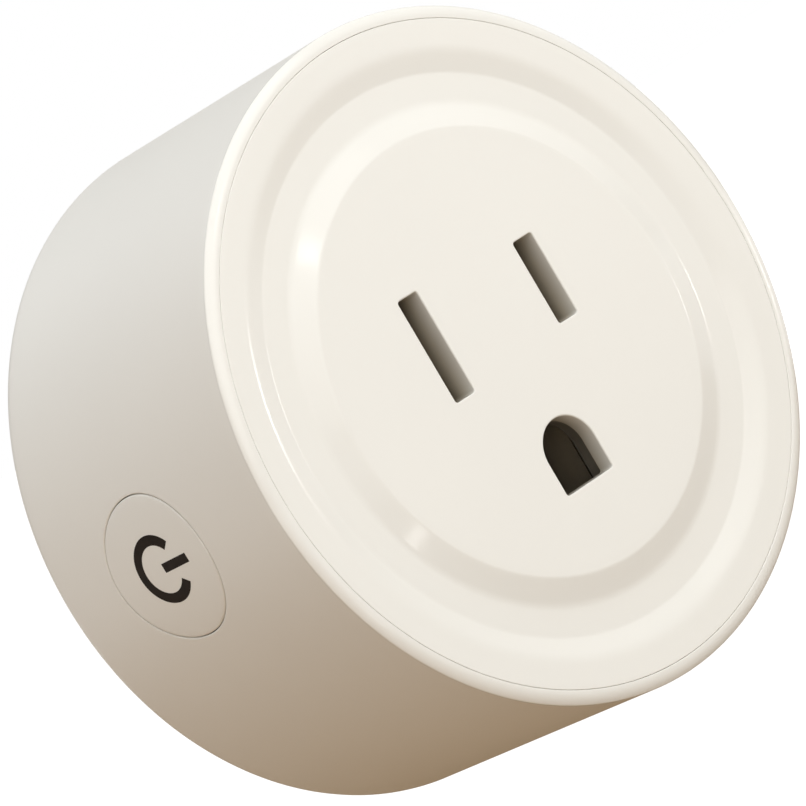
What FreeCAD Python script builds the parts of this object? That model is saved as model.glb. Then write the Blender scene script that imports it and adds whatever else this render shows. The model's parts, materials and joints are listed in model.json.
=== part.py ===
import FreeCAD, Part
import math
import os

# Smart plug: a round pass-through mains adapter with a relay, a radio module
# and a push button in its side. Millimetres. Installed on a wall outlet the
# socket face looks along -Y, the blades point along +Y and +Z is up, with the
# ground hole below the two slots. The origin is the centre of the rear face.

Vector = FreeCAD.Vector
ALONG_X = Vector(1, 0, 0)
ALONG_Y = Vector(0, 1, 0)
EDGE_TOLERANCE = 1e-4
BEYOND = 1.0
FAR = 1000.0

# ---------------------------------------------------------------- body shell
front_diameter = 54.5
side_draft = 0.25
body_depth = 28.5
front_edge_radius = 0.15
rim_bevel_width = 0.45
rim_bevel_drop = 0.35
rim_bend_radius = 1.3
rear_edge_radius = 1.4
side_wall = 1.75
rear_wall = 2.0
rim_width = 1.1
rear_groove_radius = 22.0
rear_groove_width = 0.6
rear_groove_depth = 0.3

# -------------------------------------------------------------- front cover
seam_gap = 0.05
seam_edge_radius = 0.08
flange_thickness = 2.0
cover_wall = 1.5
collar_wall = 0.6
collar_length = 1.2
disc_radius = 17.6
trough_inner_radius = 19.63
trough_outer_radius = 22.03
ring_inner_radius = 23.75
trough_depth = 0.65
ring_inner_drop = 0.15
crisp_bend_radius = 1.0
slope_bend_radius = 2.2
soft_bend_radius = 4.5
skirt_thickness = 1.2
skirt_length = 2.6
hook_width = 5.0
hook_height = 0.5
hook_depth = 1.0
hook_back = 0.6
hook_angles = (45, 135, 225, 315)
hook_clearance = 0.2
hook_root_overlap = 1.0

# ------------------------------------------------- socket and plug standard
blade_pitch = 12.7
ground_drop = 11.89
slot_line_height = 3.24
slot_width = 2.14
neutral_slot_length = 8.6
line_slot_length = 6.97
slot_edge_radius = 0.2
ground_hole_width = 5.3
ground_hole_height = 5.4
blade_thickness = 1.52
blade_width = 6.35
blade_length = 17.0
blade_tip_chamfer = 0.5
blade_hole_radius = 1.6
blade_hole_from_tip = 6.4
ground_pin_radius = 2.375
ground_pin_length = 20.0
ground_neck_radius = 2.2
ground_neck_length = 0.3
ground_tip_radius = 1.6
blade_fit = 0.05
longest_blade = 18.2
blade_end_gap = 0.1

# ------------------------------------------------------ blades, inner ends
flange_height = 1.0
blade_flange_ledge = 0.9
tail_split = 1.6
tail_stand_out = 0.3
ground_head_radius = 4.0
ground_stub_radius = 1.5
retainer_thickness = 1.2
retainer_screw_gap = 0.8

# ---------------------------------------------------------------- screws
screw_radius = 1.0
screw_head_radius = 1.9
screw_head_height = 1.1
screw_recess_width = 0.5
screw_recess_depth = 0.6
screw_boss_radius = 2.2
screw_recess_reach = 1.4
retainer_hole_depth = 2.8
board_hole_depth = 4.6
screw_tip_gap = 0.1
screw_clearance = 0.05
through_clearance = 0.2

# ------------------------------------------------------------- main board
board_thickness = 1.6
board_clearance = 0.85
board_height = 6.0
post_radius = 2.4
wall_margin = 0.65
board_screw_angles = (42.0, -149.5)
support_angles = (137.0, -43.0)
slot_clearance = 0.2
solder_stub = 0.4

# -------------------------------------------------------- contact carrier
carrier_gap = 0.1
carrier_front_wall = 1.2
carrier_wall = 1.35
pocket_play = 0.6
ground_pocket_play = 0.4
lid_thickness = 1.2
carrier_corner = 1.0
foot_inset = 1.4
contact_thickness = 0.4
contact_pinch = 0.3
mouth_setback = 0.6
pinch_setback = 3.4
root_setback = 4.8
ground_end_setback = 1.0
contact_mouth_spread = 1.6
contact_base_spread = 1.9
ground_contact_length = 5.8
ground_pinch = 0.25
ground_mouth_spread = 1.6
ground_base_spread = 0.8
ground_bridge_gap = 0.5
ground_bridge_thickness = 0.5
ground_tail_width = 3.0
ground_passage_gap = 0.6
strap_thickness = 0.5
strap_half_width = 3.0
strap_gap = 0.5
strap_end_margin = 1.4

# ------------------------------------------------------- button and switch
button_radius = 5.85
button_gap = 0.07
button_from_front = 15.2
button_height = -0.5
button_travel = 0.3
button_stop_gap = 0.12
button_flange_extra = 1.2
button_flange_thickness = 1.0
button_boss_radius = 1.7
button_boss_length = 1.0
button_play = 0.05
button_notch_gap = 0.4
switch_height = 4.3
switch_body = 3.5
switch_side = 6.0
switch_plunger_radius = 1.7
switch_collar_radius = 2.2
switch_collar_height = 0.6
switch_floor = 0.8
switch_well_gap = 0.2
switch_cover_thickness = 0.25
switch_running_gap = 0.08
dome_radius = 2.1
dome_rise = 0.35
dome_thickness = 0.1
switch_board_thickness = 1.0
switch_board_half_height = 6.9
switch_board_front_margin = 3.0
switch_pin_count = 4
pin_pitch = 2.54
pin_side = 0.6

# ------------------------------------------------------------------ relay
relay_width = 18.2
relay_breadth = 10.2
relay_height = 15.3
relay_above_carrier = 0.8
relay_case_wall = 0.5
relay_base_thickness = 1.5
relay_fit = 0.1
coil_radius = 3.5
bobbin_radius = 4.2
bobbin_flange = 0.6
coil_offset = 3.8
core_radius = 1.2
core_head_radius = 2.5
core_head_height = 0.6
yoke_thickness = 0.8
yoke_breadth = 6.0
yoke_offset = -1.2
armature_thickness = 0.6
armature_gap = 0.5
armature_reach = 7.4
armature_arm = 5.6
armature_breadth = 5.0
armature_lift = 0.1
mechanism_drop = 1.6
contact_radius = 1.2
moving_contact_height = 0.3
fixed_contact_height = 0.5
contact_gap = 0.4
terminal_thickness = 0.3
terminal_breadth = 3.0
contact_offset = 4.3

# ----------------------------------------------------------- radio module
radio_board_thickness = 1.0
radio_board_from_wall = 7.2
radio_board_half_height = 8.8
radio_front_margin = 2.4
shield_height = 2.4
shield_half_height = 6.4
shield_length = 12.0
shield_wall = 0.2
shield_from_board = 1.2
radio_chip_side = 5.0
radio_chip_height = 0.9
radio_pin_count = 6

# ------------------------------------------------------- power components
bulk_capacitor_radius = 4.0
bulk_capacitor_length = 12.0
bulk_capacitor_angle = -66.5
output_capacitor_radius = 3.1
output_capacitor_length = 11.0
output_capacitor_angle = -40.5
film_capacitor_size = (7.4, 11.0, 5.2)
film_capacitor_angle = -112.6
film_capacitor_half_diagonal = 5.3
film_capacitor_edge = 0.4
can_top_share = 0.12
can_neck_share = 0.2
can_neck_wire = 0.4
can_neck_offset = 0.15
varistor_radius = 4.4
varistor_thickness = 3.4
varistor_angle = -89.0
varistor_edge = 0.9
varistor_stand = 1.2
varistor_lead_offset = 2.5
fuse_resistor_radius = 1.7
fuse_resistor_length = 9.0
fuse_resistor_angle = -129.4
fuse_resistor_stand = 1.0
fuse_resistor_edge = 0.6
choke_radius = 3.0
choke_length = 8.0
choke_flange = 0.9
choke_neck_radius = 1.6
choke_winding_inset = 0.35
choke_angle = 137.0
lead_radius = 0.3
lead_length = 3.0
chip_height = 1.5
chip_edge = 0.25
bridge_size = (6.4, 4.6)
bridge_point = (-4.2, 14.0)
controller_size = (4.9, 3.9)
controller_point = (5.0, 14.0)

# ------------------------------------------------------------ derived sizes
front_radius = front_diameter / 2
rear_radius = front_radius - side_draft
front_y = -body_depth
inner_rear_y = -rear_wall
cavity_radius = rear_radius - side_wall
mouth_radius = front_radius - rim_width
ledge_y = front_y + flange_thickness
cover_radius = mouth_radius - seam_gap
skirt_outer_radius = cavity_radius - seam_gap
skirt_inner_radius = skirt_outer_radius - skirt_thickness
skirt_end_y = ledge_y + skirt_length
cover_back_y = front_y + cover_wall
ground_height = slot_line_height - ground_drop
neutral_x = -blade_pitch / 2
line_x = blade_pitch / 2
blade_flange_width = blade_thickness + 2 * blade_flange_ledge
blade_flange_length = blade_width + 2 * blade_flange_ledge
tail_length = (blade_width - tail_split) / 2
tail_offset = (tail_split + tail_length) / 2

board_back_y = -board_height
board_front_y = board_back_y - board_thickness
board_radius = cavity_radius - board_clearance
flange_y = inner_rear_y - flange_height
retainer_y = flange_y - retainer_thickness
tail_end_y = board_front_y - tail_stand_out
strap_y = retainer_y - strap_gap

carrier_front_y = cover_back_y + carrier_gap
pocket_front_y = carrier_front_y + carrier_front_wall
carrier_back_y = front_y + longest_blade + contact_thickness + blade_end_gap
lid_back_y = carrier_back_y + lid_thickness
contact_base_half = (blade_thickness + contact_base_spread) / 2 + contact_thickness
ground_mouth_half = ground_pin_radius + ground_mouth_spread / 2 + contact_thickness
pocket_half_width = contact_base_half + pocket_play
pocket_half_length = neutral_slot_length / 2 + pocket_play
ground_pocket_half_width = ground_mouth_half + ground_pocket_play
ground_tail_z = (ground_height - ground_hole_height / 2 - ground_bridge_gap
                 - ground_bridge_thickness / 2)
ground_pocket_half_length = (ground_height - ground_tail_z + ground_bridge_thickness / 2
                             + ground_pocket_play)
carrier_half_width = line_x + pocket_half_width + carrier_wall
carrier_top = slot_line_height + pocket_half_length + carrier_wall
carrier_bottom = ground_height - ground_pocket_half_length - carrier_wall

button_y = front_y + button_from_front
button_hole_radius = button_radius + button_gap
flange_outer_radius = cavity_radius - button_stop_gap
flange_inner_radius = flange_outer_radius - button_flange_thickness
button_boss_x = button_boss_length - flange_inner_radius
plunger_tip_x = button_boss_x + button_play
switch_foot_x = plunger_tip_x + switch_height
switch_top_x = switch_foot_x - switch_body

relay_bottom = carrier_top + relay_above_carrier
relay_z = relay_bottom + relay_breadth / 2
relay_front_y = board_front_y - relay_height
radio_board_x = cavity_radius - radio_board_from_wall


def beside_wall(radius, angle):
    """The (x, z) centre of a round thing that stands beside the housing's wall."""
    distance = cavity_radius - wall_margin - radius
    turn = math.radians(angle)
    return distance * math.cos(turn), distance * math.sin(turn)


retainer_screw_x = ground_head_radius + retainer_screw_gap + screw_boss_radius
retainer_top_screw_z = slot_line_height + blade_width / 2
retainer_half_width = retainer_screw_x + screw_boss_radius + retainer_screw_gap
retainer_screw_points = (
    (0.0, retainer_top_screw_z),
    (-retainer_screw_x, ground_height),
    (retainer_screw_x, ground_height),
)
board_screw_points = [beside_wall(post_radius, angle) for angle in board_screw_angles]
support_points = [beside_wall(post_radius, angle) for angle in support_angles]


def block(x0, x1, y0, y1, z0, z1):
    """A box between two corners."""
    return Part.makeBox(x1 - x0, y1 - y0, z1 - z0, Vector(x0, y0, z0))


def slab(x, z, width, height, y0, y1):
    """A box centred on (x, z) that runs from y0 to y1."""
    return block(x - width / 2, x + width / 2, y0, y1, z - height / 2, z + height / 2)


def rod(radius, y0, y1, x=0.0, z=0.0):
    """A round bar along Y."""
    return Part.makeCylinder(radius, y1 - y0, Vector(x, y0, z), ALONG_Y)


def cross_rod(radius, x0, x1, y, z):
    """A round bar along X."""
    return Part.makeCylinder(radius, x1 - x0, Vector(x0, y, z), ALONG_X)


def turned(points):
    """A solid of revolution about Y from a closed outline of (radius, y) points."""
    corners = [Vector(radius, y, 0) for radius, y in points]
    face = Part.Face(Part.makePolygon(corners + corners[:1]))
    return face.revolve(Vector(0, 0, 0), ALONG_Y, 360)


def fused(shapes):
    """One solid from several that touch."""
    return shapes[0].fuse(shapes[1:]).removeSplitter()


def rounded_circles(shape, radius, circle_radii, y_low=-FAR, y_high=FAR):
    """Round the full circles about the main axis that have one of the given radii."""
    edges = []
    for edge in shape.Edges:
        curve = edge.Curve
        if not isinstance(curve, Part.Circle):
            continue
        on_axis = math.hypot(curve.Center.x, curve.Center.z) < EDGE_TOLERANCE
        listed = any(abs(curve.Radius - listed) < EDGE_TOLERANCE for listed in circle_radii)
        if on_axis and listed and y_low < curve.Center.y < y_high:
            edges.append(edge)
    return shape.makeFillet(radius, edges)


def about_axis(shape, angle):
    """The shape turned about the plug's main axis."""
    turned_shape = shape.copy()
    turned_shape.rotate(Vector(0, 0, 0), ALONG_Y, angle)
    return turned_shape


def bent_strip(points, thickness, z0, z1):
    """Sheet metal bent in the XY plane: a centre line with square corners, extruded along Z."""
    half = thickness / 2
    left = []
    right = []
    for index, (x, y) in enumerate(points):
        before = points[max(index - 1, 0)]
        after = points[min(index + 1, len(points) - 1)]
        normals = []
        for a, b in ((before, (x, y)), ((x, y), after)):
            length = math.hypot(b[0] - a[0], b[1] - a[1])
            if length > 0:
                normals.append((-(b[1] - a[1]) / length, (b[0] - a[0]) / length))
        nx = sum(n[0] for n in normals)
        ny = sum(n[1] for n in normals)
        scale = half * len(normals) / (nx * nx + ny * ny)
        left.append(Vector(x + nx * scale, y + ny * scale, z0))
        right.append(Vector(x - nx * scale, y - ny * scale, z0))
    outline = left + right[::-1]
    face = Part.Face(Part.makePolygon(outline + outline[:1]))
    return face.extrude(Vector(0, 0, z1 - z0))


def edges_along_y(shape):
    """The straight edges of a block that run along Y."""
    return [e for e in shape.Edges if abs(e.tangentAt(e.FirstParameter).dot(ALONG_Y)) > 0.5]


def circle_edges(shape):
    """The round edges of a disc or a bar."""
    return [e for e in shape.Edges if isinstance(e.Curve, Part.Circle)]


def slot_cut(x, z, width, length, y0, y1, corner):
    """A rectangular opening along Y with rounded corners."""
    opening = slab(x, z, width, length, y0, y1)
    return opening.makeFillet(corner, edges_along_y(opening))


def ground_opening(width, height, y0, y1):
    """The arch-shaped ground opening: round towards the slots and flat below."""
    radius = width / 2
    arch_z = ground_height + height / 2 - radius
    square = block(-radius, radius, y0, y1, ground_height - height / 2, arch_z)
    return fused([square, rod(radius, y0, y1, 0, arch_z)])


def outer_body():
    """The tapered round outside of the plug with its sloping rim and rounded edges."""
    bevel_radius = front_radius - rim_bevel_width
    cone = turned([
        (0, front_y),
        (bevel_radius, front_y),
        (front_radius, front_y + rim_bevel_drop),
        (rear_radius, 0),
        (0, 0),
    ])
    cone = rounded_circles(cone, rim_bend_radius, [bevel_radius])
    cone = rounded_circles(cone, front_edge_radius, [front_radius])
    return rounded_circles(cone, rear_edge_radius, [rear_radius])


def tail_slot(x, z_offset, clearance, y0, y1):
    """The opening that a blade's or a contact's solder tail passes through."""
    z = slot_line_height + z_offset
    return slab(x, z, blade_thickness + 2 * clearance, tail_length + 2 * clearance, y0, y1)


def hook_block(radius_in, radius_out, width, y0, y1):
    """Short arcs of a ring at each snap hook."""
    ring = rod(radius_out, y0, y1).cut(rod(radius_in, y0, y1))
    bar = block(0, radius_out + BEYOND, y0, y1, -width / 2, width / 2)
    return [ring.common(about_axis(bar, angle)) for angle in hook_angles]


def housing():
    """The rear cup: side wall, rear wall, mouth for the cover, posts and bosses."""
    shell = outer_body()
    shell = shell.cut(rod(cavity_radius, front_y, inner_rear_y))
    shell = shell.cut(rod(mouth_radius, front_y, ledge_y))
    shell = rounded_circles(shell, seam_edge_radius, [mouth_radius],
                            y_high=ledge_y - EDGE_TOLERANCE)
    posts = []
    for x, z in board_screw_points + support_points:
        posts.append(rod(post_radius, board_back_y, inner_rear_y, x, z))
    for x, z in retainer_screw_points:
        posts.append(rod(screw_boss_radius, flange_y, inner_rear_y, x, z))
    shell = fused([shell] + posts)
    cuts = [cross_rod(button_hole_radius, -front_radius - BEYOND, -cavity_radius / 2,
                      button_y, button_height)]
    for x, z in board_screw_points:
        screw_end = board_front_y + board_hole_depth
        cuts.append(rod(screw_radius + screw_clearance, board_back_y, screw_end, x, z))
    for x, z in retainer_screw_points:
        screw_end = retainer_y + retainer_hole_depth
        cuts.append(rod(screw_radius + screw_clearance, flange_y, screw_end, x, z))
    for x in (neutral_x, line_x):
        width = blade_thickness + 2 * blade_fit
        length = blade_width + 2 * blade_fit
        cuts.append(slab(x, slot_line_height, width, length, inner_rear_y, BEYOND))
    cuts.append(rod(ground_pin_radius + blade_fit, inner_rear_y, BEYOND, 0, ground_height))
    groove = rod(rear_groove_radius + rear_groove_width / 2, -rear_groove_depth, BEYOND)
    island = rod(rear_groove_radius - rear_groove_width / 2, -rear_groove_depth, BEYOND)
    cuts.append(groove.cut(island))
    hook_y = skirt_end_y - hook_back
    cuts += hook_block(cavity_radius - hook_root_overlap, skirt_outer_radius + hook_height + hook_clearance,
                       hook_width + 2 * hook_clearance,
                       hook_y - hook_depth - hook_clearance, hook_y + hook_clearance)
    return shell.cut(cuts)


def front_cover():
    """The socket face: disc, trough, ring, hooked skirt, three openings and slot collars."""
    underside = front_y + trough_depth + cover_wall
    cover = turned([
        (0, front_y),
        (disc_radius, front_y),
        (trough_inner_radius, front_y + trough_depth),
        (trough_outer_radius, front_y + trough_depth),
        (ring_inner_radius, front_y + ring_inner_drop),
        (cover_radius, front_y),
        (cover_radius, ledge_y),
        (skirt_outer_radius, ledge_y),
        (skirt_outer_radius, skirt_end_y),
        (skirt_inner_radius, skirt_end_y),
        (skirt_inner_radius, underside),
        (trough_inner_radius, underside),
        (disc_radius, cover_back_y),
        (0, cover_back_y),
    ])
    front_half = cover_back_y - EDGE_TOLERANCE
    crisp_bends = [disc_radius, trough_outer_radius]
    cover = rounded_circles(cover, crisp_bend_radius, crisp_bends, y_high=front_half)
    cover = rounded_circles(cover, slope_bend_radius, [trough_inner_radius], y_high=front_half)
    cover = rounded_circles(cover, soft_bend_radius, [ring_inner_radius], y_high=front_half)
    cover = rounded_circles(cover, seam_edge_radius, [cover_radius],
                            y_high=ledge_y - EDGE_TOLERANCE)
    hook_y = skirt_end_y - hook_back
    hooks = hook_block(skirt_outer_radius - hook_root_overlap, skirt_outer_radius + hook_height, hook_width,
                       hook_y - hook_depth, hook_y)
    lengths = ((neutral_x, neutral_slot_length), (line_x, line_slot_length))
    collar_end_y = cover_back_y + collar_length
    collars = [
        slab(x, slot_line_height, slot_width + 2 * collar_wall, length + 2 * collar_wall,
             cover_back_y, collar_end_y)
        for x, length in lengths
    ]
    cover = fused([cover] + hooks + collars)
    cuts = [
        slot_cut(x, slot_line_height, slot_width, length, front_y - BEYOND,
                 collar_end_y + BEYOND, slot_edge_radius)
        for x, length in lengths
    ]
    cuts.append(ground_opening(ground_hole_width, ground_hole_height,
                               front_y - BEYOND, cover_back_y + BEYOND))
    return cover.cut(cuts)


def contact_carrier():
    """The moulded block behind the socket face that holds the three spring contacts."""
    body = block(-carrier_half_width, carrier_half_width, carrier_front_y, carrier_back_y,
                 carrier_bottom, carrier_top)
    body = body.makeFillet(carrier_corner, edges_along_y(body))
    cuts = []
    lengths = ((neutral_x, neutral_slot_length), (line_x, line_slot_length))
    for x, length in lengths:
        margin = 2 * (collar_wall + slot_clearance)
        cuts.append(slab(x, slot_line_height, slot_width + margin, length + margin,
                         carrier_front_y, pocket_front_y))
        cuts.append(slab(x, slot_line_height, 2 * pocket_half_width, 2 * pocket_half_length,
                         pocket_front_y, carrier_back_y))
    cuts.append(ground_opening(ground_hole_width + 2 * slot_clearance,
                               ground_hole_height + 2 * slot_clearance,
                               carrier_front_y, pocket_front_y))
    cuts.append(slab(0, ground_height, 2 * ground_pocket_half_width,
                     2 * ground_pocket_half_length, pocket_front_y, carrier_back_y))
    return body.cut(cuts)


def carrier_lid():
    """The plate that closes the back of the contact carrier and stands on the main board."""
    lid = block(-carrier_half_width, carrier_half_width, carrier_back_y, lid_back_y,
                carrier_bottom, carrier_top)
    lid = lid.makeFillet(carrier_corner, edges_along_y(lid))
    feet = []
    for x in (-1, 1):
        for z in (carrier_bottom + foot_inset, carrier_top - foot_inset):
            feet.append(rod(carrier_corner, lid_back_y, board_front_y,
                            x * (carrier_half_width - foot_inset), z))
    cuts = [ground_pin_passage(carrier_back_y, lid_back_y)]
    for x in (neutral_x, line_x):
        cuts.append(tail_slot(x, tail_offset, slot_clearance, carrier_back_y, lid_back_y))
    return fused([lid] + feet).cut(cuts)


def ground_pin_passage(y0, y1):
    """Room for an inserted ground pin and for the ground contact's tail beside it."""
    hole = rod(ground_pin_radius + ground_passage_gap, y0, y1, 0, ground_height)
    tail_z = ground_tail_z
    tail = slab(0, tail_z, ground_tail_width + 2 * slot_clearance,
                ground_bridge_thickness + 2 * slot_clearance, y0, y1)
    bridge = block(-ground_tail_width / 2, ground_tail_width / 2, y0, y1, tail_z, ground_height)
    return fused([hole, tail, bridge])


def blade_contact(x):
    """A spring contact: two leaves on a folded base with a tail to the main board."""
    half = contact_thickness / 2
    mouth = (blade_thickness + contact_mouth_spread) / 2 + half
    pinch = (blade_thickness - contact_pinch) / 2 + half
    root = contact_base_half - half
    mouth_y = pocket_front_y + mouth_setback
    pinch_y = mouth_y + pinch_setback
    root_y = pinch_y + root_setback
    base_y = carrier_back_y - half
    leaf = [(mouth, mouth_y), (pinch, pinch_y), (root, root_y), (root, base_y)]
    outline = [(x - a, y) for a, y in leaf] + [(x + a, y) for a, y in leaf[::-1]]
    clip = bent_strip(outline, contact_thickness, slot_line_height - blade_width / 2,
                      slot_line_height + blade_width / 2)
    tail = slab(x, slot_line_height + tail_offset, contact_thickness, tail_length,
                base_y, board_back_y + solder_stub)
    return fused([clip, tail])


def ground_contact():
    """The ground contact: two leaves joined below by a bridge plate that carries the tail."""
    half = contact_thickness / 2
    mouth = ground_mouth_half - half
    pinch = ground_pin_radius - ground_pinch / 2 + half
    root = ground_pin_radius + ground_base_spread / 2 + half
    mouth_y = pocket_front_y + mouth_setback
    pinch_y = mouth_y + pinch_setback
    root_y = pinch_y + root_setback
    end_y = carrier_back_y - ground_end_setback
    tail_z = ground_tail_z
    z0 = tail_z + ground_bridge_thickness / 2
    z1 = z0 + ground_contact_length
    leaf = [(mouth, mouth_y), (pinch, pinch_y), (root, root_y), (root, end_y)]
    leaves = [bent_strip([(side * a, y) for a, y in leaf], contact_thickness, z0, z1)
              for side in (-1, 1)]
    bridge = slab(0, tail_z, 2 * (root + half), ground_bridge_thickness, root_y, end_y)
    tail = slab(0, tail_z, ground_tail_width, ground_bridge_thickness, end_y,
                strap_y + strap_thickness)
    return fused(leaves + [bridge, tail])


def ground_strap():
    """The flat link between the ground pin's stub and the ground contact's tail."""
    low = ground_tail_z - strap_end_margin
    high = ground_height + strap_half_width
    plate = block(-strap_half_width, strap_half_width, strap_y, strap_y + strap_thickness,
                  low, high)
    hole = rod(ground_stub_radius + screw_clearance, strap_y, strap_y + strap_thickness,
               0, ground_height)
    slot = slab(0, ground_tail_z, ground_tail_width + 2 * screw_clearance,
                ground_bridge_thickness + 2 * screw_clearance, strap_y, strap_y + strap_thickness)
    return plate.cut([hole, slot])


def plug_blade(x):
    """A flat blade: chamfered tip, round hole, flange inside the wall and a solder tail."""
    blade = slab(x, slot_line_height, blade_thickness, blade_width, flange_y, blade_length)
    tip = [e for e in blade.Edges
           if abs(e.CenterOfMass.y - blade_length) < EDGE_TOLERANCE]
    blade = blade.makeChamfer(blade_tip_chamfer, tip)
    hole = cross_rod(blade_hole_radius, x - blade_thickness, x + blade_thickness,
                     blade_length - blade_hole_from_tip, slot_line_height)
    flange = slab(x, slot_line_height, blade_flange_width, blade_flange_length,
                  flange_y, inner_rear_y)
    tail = slab(x, slot_line_height - tail_offset, blade_thickness, tail_length,
                tail_end_y, flange_y)
    return fused([blade.cut(hole), flange, tail])


def ground_pin():
    """The round ground pin: domed tip, neck in the rear wall, head inside it and a stub."""
    pin = rod(ground_pin_radius, ground_neck_length, ground_pin_length, 0, ground_height)
    tip = [e for e in pin.Edges if abs(e.CenterOfMass.y - ground_pin_length) < EDGE_TOLERANCE]
    pin = pin.makeFillet(ground_tip_radius, tip)
    neck = rod(ground_neck_radius, inner_rear_y, ground_neck_length, 0, ground_height)
    head = rod(ground_head_radius, flange_y, inner_rear_y, 0, ground_height)
    stub = rod(ground_stub_radius, strap_y - tail_stand_out, flange_y, 0, ground_height)
    return fused([pin, neck, head, stub])


def blade_retainer():
    """The plate screwed over the blades' flanges and the ground pin's head."""
    plate = block(-retainer_half_width, retainer_half_width, retainer_y, flange_y,
                  ground_height - ground_head_radius, retainer_top_screw_z + screw_boss_radius)
    cuts = [rod(ground_stub_radius + through_clearance, retainer_y, flange_y, 0, ground_height)]
    for x in (neutral_x, line_x):
        cuts.append(tail_slot(x, -tail_offset, through_clearance, retainer_y, flange_y))
    for x, z in retainer_screw_points:
        cuts.append(rod(screw_radius + through_clearance, retainer_y, flange_y, x, z))
    return plate.cut(cuts)


def screw(x, z, seat_y, length):
    """A pan-head screw with a cross recess, its head against seat_y and its shank along +Y."""
    head = rod(screw_head_radius, seat_y - screw_head_height, seat_y, x, z)
    shank = rod(screw_radius, seat_y, seat_y + length, x, z)
    top = seat_y - screw_head_height
    arm = screw_recess_reach * screw_head_radius
    recess = [
        slab(x, z, arm, screw_recess_width, top, top + screw_recess_depth),
        slab(x, z, screw_recess_width, arm, top, top + screw_recess_depth),
    ]
    return fused([head, shank]).cut(recess)


def retainer_screws():
    """The screws of the blade retainer."""
    length = retainer_hole_depth - screw_tip_gap
    return [screw(x, z, retainer_y, length) for x, z in retainer_screw_points]


def board_screws():
    """The screws that hold the main board on its posts."""
    length = board_hole_depth - screw_tip_gap
    return [screw(x, z, board_front_y, length) for x, z in board_screw_points]


def main_board():
    """The round circuit board with its holes for tails, screws and the ground pin."""
    board = rod(board_radius, board_front_y, board_back_y)
    cuts = [ground_pin_passage(board_front_y, board_back_y)]
    for x in (neutral_x, line_x):
        for offset in (tail_offset, -tail_offset):
            cuts.append(tail_slot(x, offset, slot_clearance, board_front_y, board_back_y))
    for x, z in board_screw_points:
        cuts.append(rod(screw_radius + through_clearance, board_front_y, board_back_y, x, z))
    cuts.append(relay_terminal_slot(board_front_y, board_back_y))
    notch_radius = button_radius + button_flange_extra + button_notch_gap
    cuts.append(cross_rod(notch_radius, -cavity_radius, button_boss_x, button_y, button_height))
    return board.cut(cuts)


def button_cap():
    """The side button: flush with the housing, a stop flange inside the wall and a boss."""
    plug = cross_rod(button_radius, -front_radius - BEYOND, 0, button_y, button_height)
    skin = plug.common(outer_body()).cut(rod(flange_inner_radius, front_y, 0))
    flange_rod = cross_rod(button_radius + button_flange_extra, -front_radius, 0,
                           button_y, button_height)
    ring = rod(flange_outer_radius, front_y, 0).cut(rod(flange_inner_radius, front_y, 0))
    flange = flange_rod.common(ring)
    flange = [s for s in flange.Solids if s.CenterOfMass.x < 0][0]
    skin = [s for s in skin.Solids if s.CenterOfMass.x < 0][0]
    boss = cross_rod(button_boss_radius, -flange_outer_radius, button_boss_x,
                     button_y, button_height)
    return fused([skin, flange, boss])


def switch_board():
    """The small upright board behind the button."""
    y0 = button_y - switch_side / 2 - switch_board_front_margin
    return block(switch_foot_x, switch_foot_x + switch_board_thickness, y0, board_front_y,
                 -switch_board_half_height, switch_board_half_height)


def switch_base():
    """The moulded cup of the push switch."""
    half = switch_side / 2
    depth = switch_body - switch_cover_thickness
    cup = block(switch_foot_x - depth, switch_foot_x, button_y - half, button_y + half,
                button_height - half, button_height + half)
    well = cross_rod(switch_collar_radius + switch_well_gap, switch_foot_x - depth,
                     switch_foot_x - switch_floor, button_y, button_height)
    return cup.cut(well)


def switch_cover():
    """The metal plate on top of the push switch, with the hole for its plunger."""
    half = switch_side / 2
    plate = block(switch_top_x, switch_top_x + switch_cover_thickness,
                  button_y - half, button_y + half,
                  button_height - half, button_height + half)
    hole = cross_rod(switch_plunger_radius + switch_running_gap, switch_top_x,
                     switch_top_x + switch_cover_thickness, button_y, button_height)
    return plate.cut(hole)


def switch_dome():
    """The snap dome on the floor of the push switch, drawn unpressed."""
    floor_x = switch_foot_x - switch_floor
    sphere_radius = (dome_radius ** 2 + dome_rise ** 2) / (2 * dome_rise)
    centre = Vector(floor_x - dome_rise + sphere_radius, button_y, button_height)
    outer = Part.makeSphere(sphere_radius, centre)
    inner = Part.makeSphere(sphere_radius - dome_thickness, centre)
    cap = outer.cut(inner)
    keep = cross_rod(dome_radius, floor_x - dome_rise - BEYOND, floor_x, button_y, button_height)
    return cap.common(keep)


def switch_plunger():
    """The switch's plunger: a stem through the cover and a collar that keeps it in."""
    collar_x = switch_top_x + switch_cover_thickness + switch_running_gap
    stem = cross_rod(switch_plunger_radius, plunger_tip_x, collar_x + switch_collar_height,
                     button_y, button_height)
    collar = cross_rod(switch_collar_radius, collar_x, collar_x + switch_collar_height,
                       button_y, button_height)
    return fused([stem, collar])


def pin_row(x, z_middle, count):
    """A row of square pins that joins an upright board to the main board."""
    pins = []
    for index in range(count):
        z = z_middle + (index - (count - 1) / 2) * pin_pitch
        pins.append(slab(x, z, pin_side, pin_side, board_front_y - lead_length, board_front_y))
    return pins


def switch_pins():
    """The pins at the foot of the switch board, on the side away from the switch."""
    return pin_row(switch_foot_x + switch_board_thickness + pin_side / 2, 0, switch_pin_count)


def relay_case():
    """The relay's thin cover, open towards the main board."""
    outer = slab(0, relay_z, relay_width, relay_breadth, relay_front_y, board_front_y)
    inner = slab(0, relay_z, relay_width - 2 * relay_case_wall,
                 relay_breadth - 2 * relay_case_wall,
                 relay_front_y + relay_case_wall, board_front_y)
    return outer.cut(inner)


def relay_inner_width():
    """The width of the relay's base, inside its case."""
    return relay_width - 2 * relay_case_wall - 2 * relay_fit


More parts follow.
